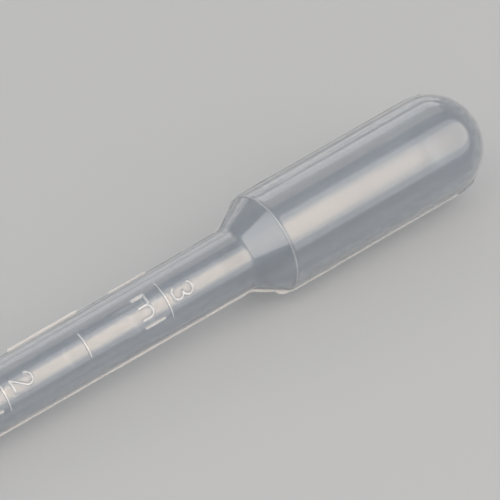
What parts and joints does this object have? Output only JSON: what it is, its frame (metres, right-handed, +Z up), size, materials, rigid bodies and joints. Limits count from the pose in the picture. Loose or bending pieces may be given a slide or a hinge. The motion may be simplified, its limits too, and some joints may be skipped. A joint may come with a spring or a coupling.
{
  "type": "plastic dropper pipette",
  "caption": "Soft one-piece plastic dropper pipette: domed squeeze bulb, tapered shoulder, graduated barrel and a long fine tip, open at its end.",
  "frame": {"origin": "on the surface it lies on, under the middle of its box", "axes": "+X towards the squeeze bulb, along the body; -X towards the tip; +Z up; the front graduations face up and towards -Y, 41 degrees from +Z; the mould's parting line runs along both sides, between the front and the rear graduations"},
  "size_m": [0.1586, 0.013, 0.0139],
  "materials": {
    "translucent_polyethylene": "translucent natural low-density polyethylene, soft satin gloss"
  },
  "bodies": {
    "root": {"pipette": "translucent_polyethylene"}
  },
  "joints": []
}
